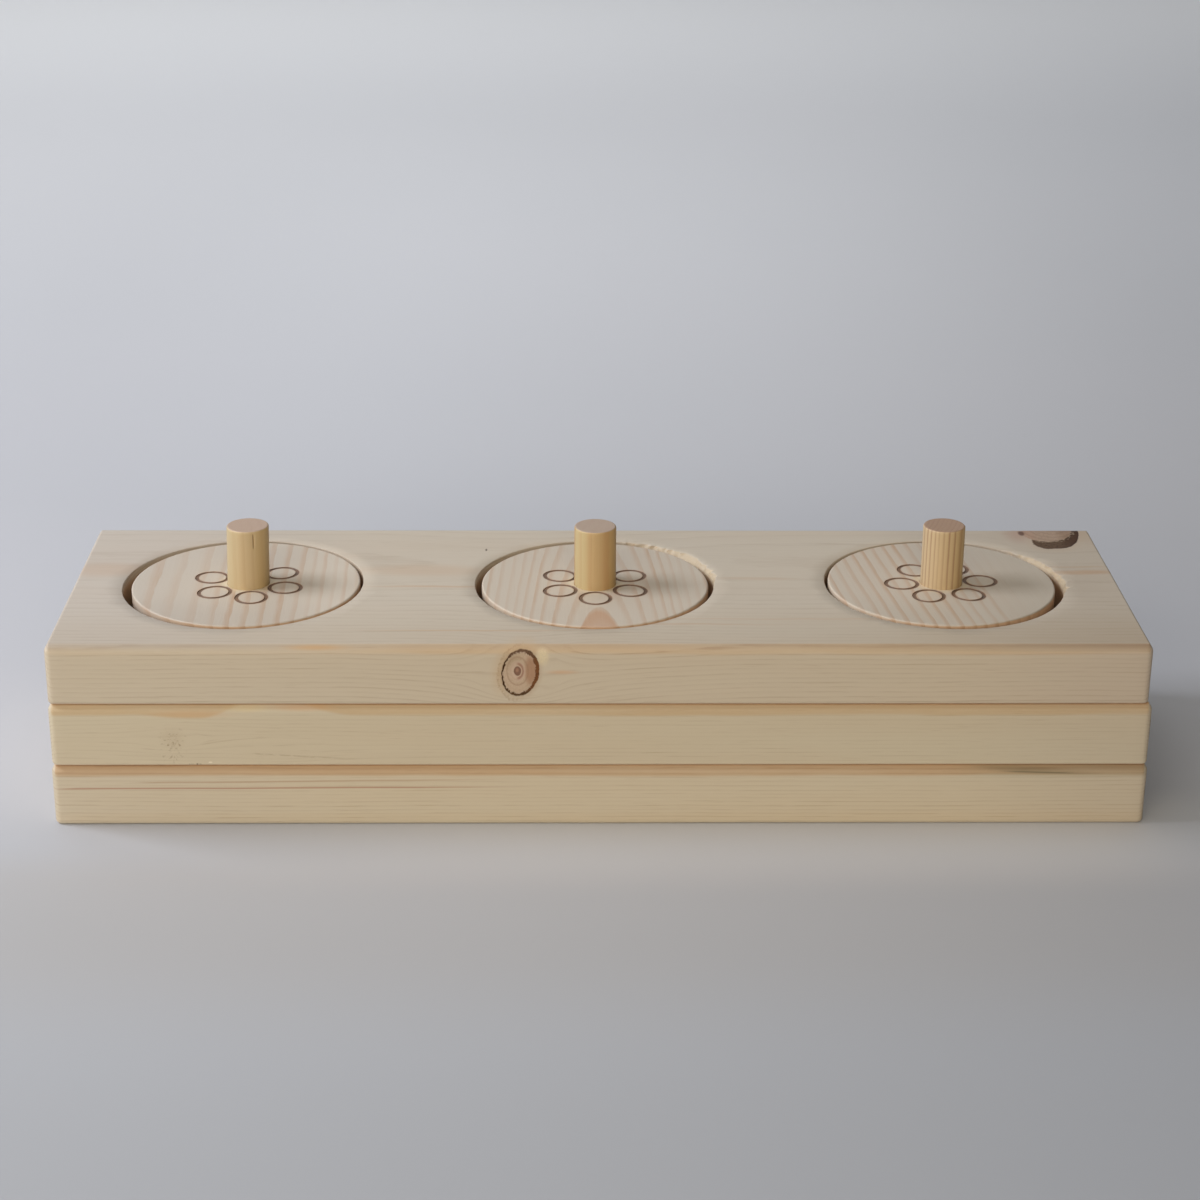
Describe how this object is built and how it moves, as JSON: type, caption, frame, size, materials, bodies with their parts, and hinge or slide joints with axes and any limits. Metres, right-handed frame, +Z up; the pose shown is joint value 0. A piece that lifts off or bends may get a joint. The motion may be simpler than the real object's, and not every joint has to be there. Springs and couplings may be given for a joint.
{
  "type": "rabbit treat puzzle",
  "caption": "Block of stacked wooden boards with a row of round treat wells, each closed by a loose round lid that is lifted off by its peg.",
  "frame": {"origin": "middle of the underside of the base board, on the surface that it stands on", "axes": "+X along the boards to the right end, +Y to the back, +Z up, the way the lids lift"},
  "size_m": [0.303, 0.0916, 0.0717],
  "materials": {
    "pine_board": "planed and sanded, unfinished",
    "pine_lid": "sanded, unfinished, burnt line drawing",
    "pine_peg": "turned dowel, unfinished",
    "screw_steel": "bright zinc plated"
  },
  "bodies": {
    "block": {"base_board": "pine_board", "middle_board": "pine_board", "top_board": "pine_board", "board_screws": "screw_steel"},
    "lid_left": {"lid_disc_left": "pine_lid", "peg_left": "pine_peg"},
    "lid_middle": {"lid_disc_middle": "pine_lid", "peg_middle": "pine_peg"},
    "lid_right": {"lid_disc_right": "pine_lid", "peg_right": "pine_peg"}
  },
  "joints": [
    {"name": "lid_left_lift", "type": "slide", "parent": "block", "child": "lid_left", "axis": [0, 0, 1], "range_m": [0, 0.045]},
    {"name": "lid_middle_lift", "type": "slide", "parent": "block", "child": "lid_middle", "axis": [0, 0, 1], "range_m": [0, 0.045]},
    {"name": "lid_right_lift", "type": "slide", "parent": "block", "child": "lid_right", "axis": [0, 0, 1], "range_m": [0, 0.045]}
  ]
}
